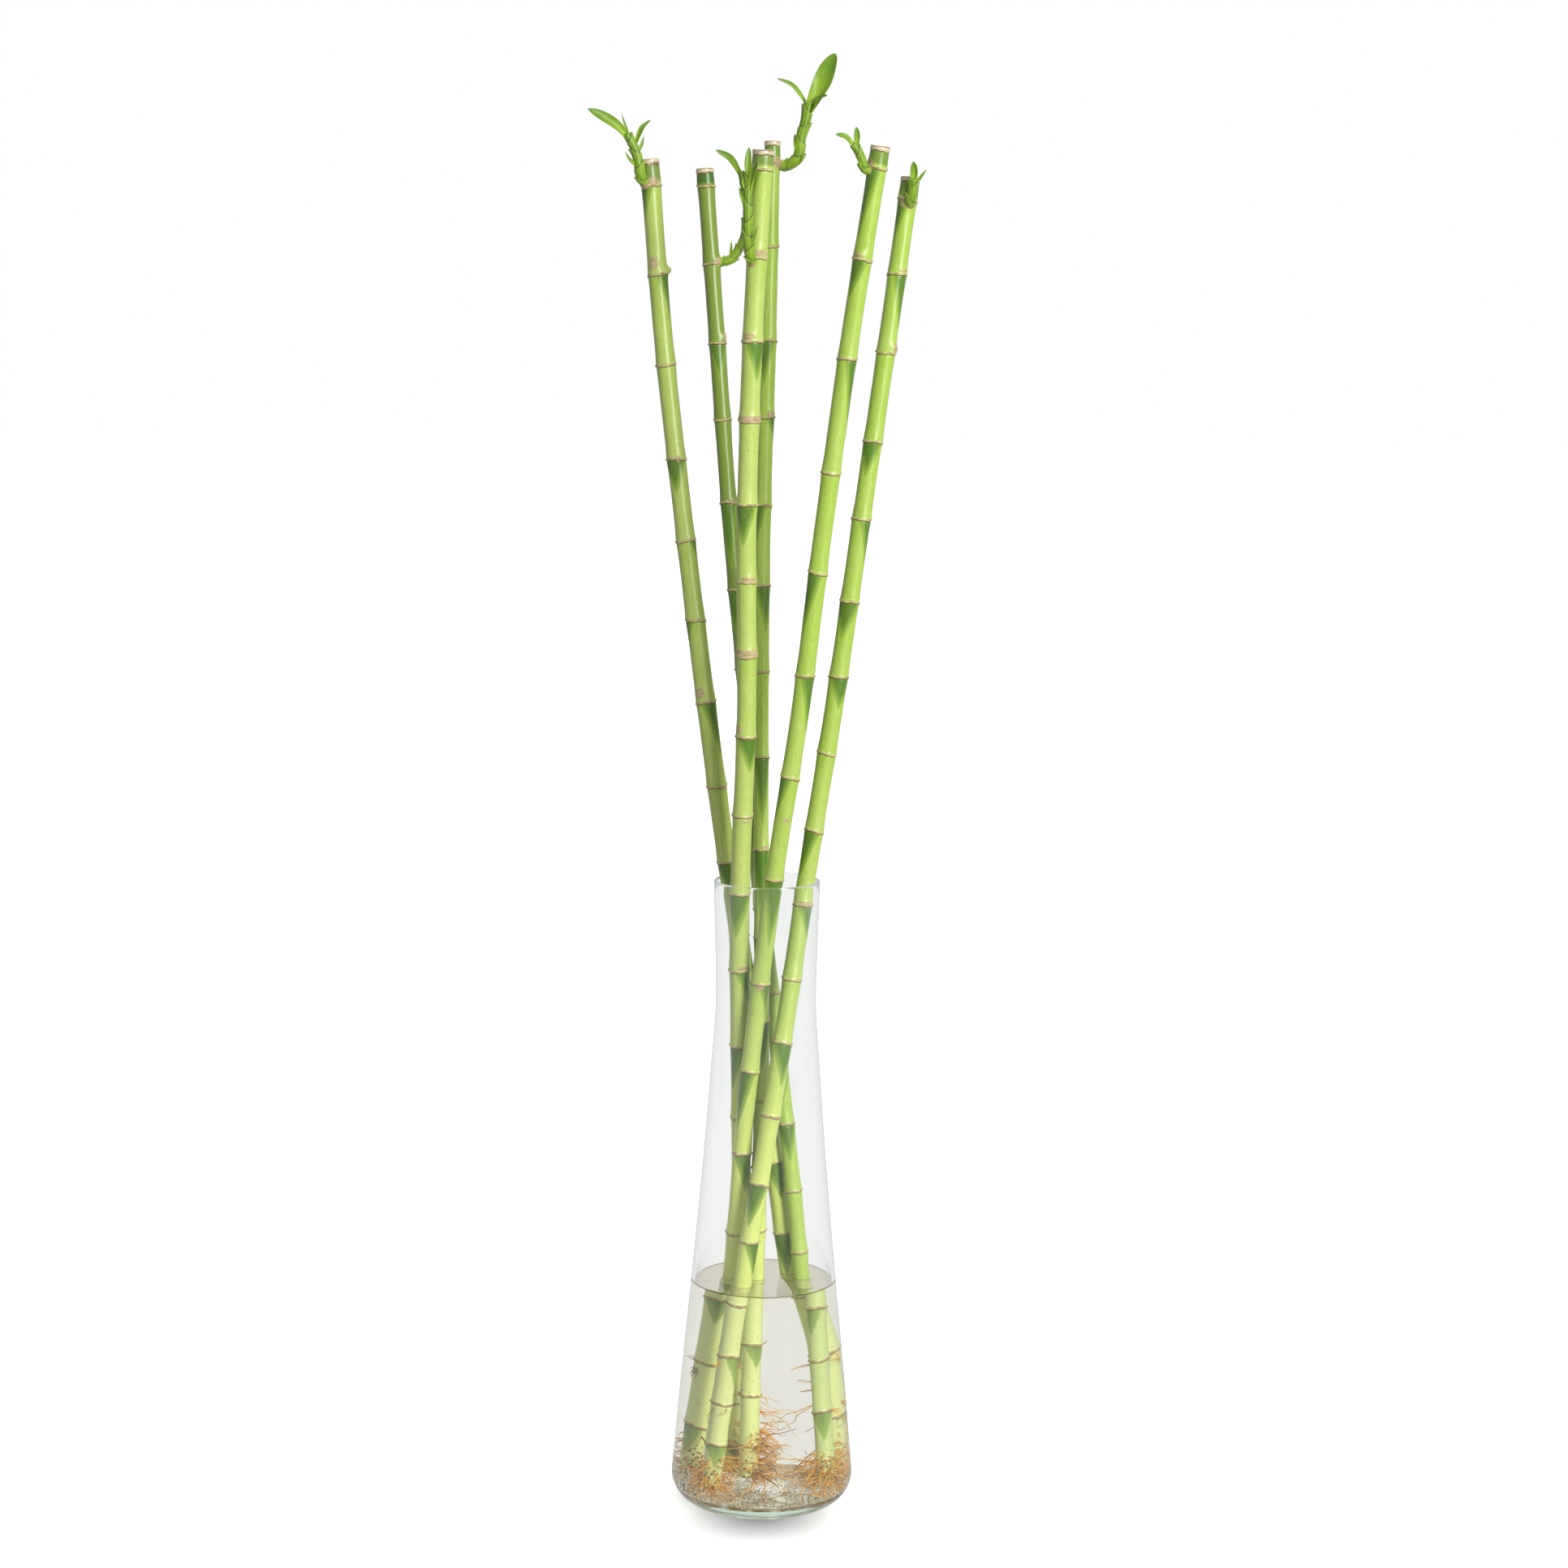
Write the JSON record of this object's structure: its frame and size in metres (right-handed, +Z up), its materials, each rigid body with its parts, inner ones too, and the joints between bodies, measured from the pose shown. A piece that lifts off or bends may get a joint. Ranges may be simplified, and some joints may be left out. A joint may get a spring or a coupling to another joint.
{
  "type": "lucky bamboo in a glass vase",
  "caption": "Tall cut canes of lucky bamboo with small leafy shoots and root tufts, standing in water in a clear conical glass vase with a narrow neck.",
  "frame": {"origin": "centre of the vase's flat foot, on the surface that it stands on", "axes": "+Z up along the vase's axis, -Y towards the viewer of the picture, +X to the viewer's right"},
  "size_m": [0.2064, 0.1289, 0.9082],
  "materials": {
    "vase_glass": "clear blown soda-lime glass, fire-polished mouth, faint green in the thick floor",
    "water": "clear still water",
    "cane_skin": "smooth waxy green cane with tan node rings, dark green wedges under the rings and dry tan cut ends",
    "shoot_skin": "satin green leaves and sheaths with pale dry tips"
  },
  "bodies": {
    "root": {"vase": "vase_glass", "water": "water", "cane_1": "cane_skin", "cane_2": "cane_skin", "cane_3": "cane_skin", "cane_4": "cane_skin", "cane_5": "cane_skin", "cane_6": "cane_skin", "shoot_1": "shoot_skin", "shoot_2": "shoot_skin", "shoot_3": "shoot_skin", "shoot_4": "shoot_skin", "shoot_5": "shoot_skin", "shoot_6": "shoot_skin"}
  },
  "joints": []
}
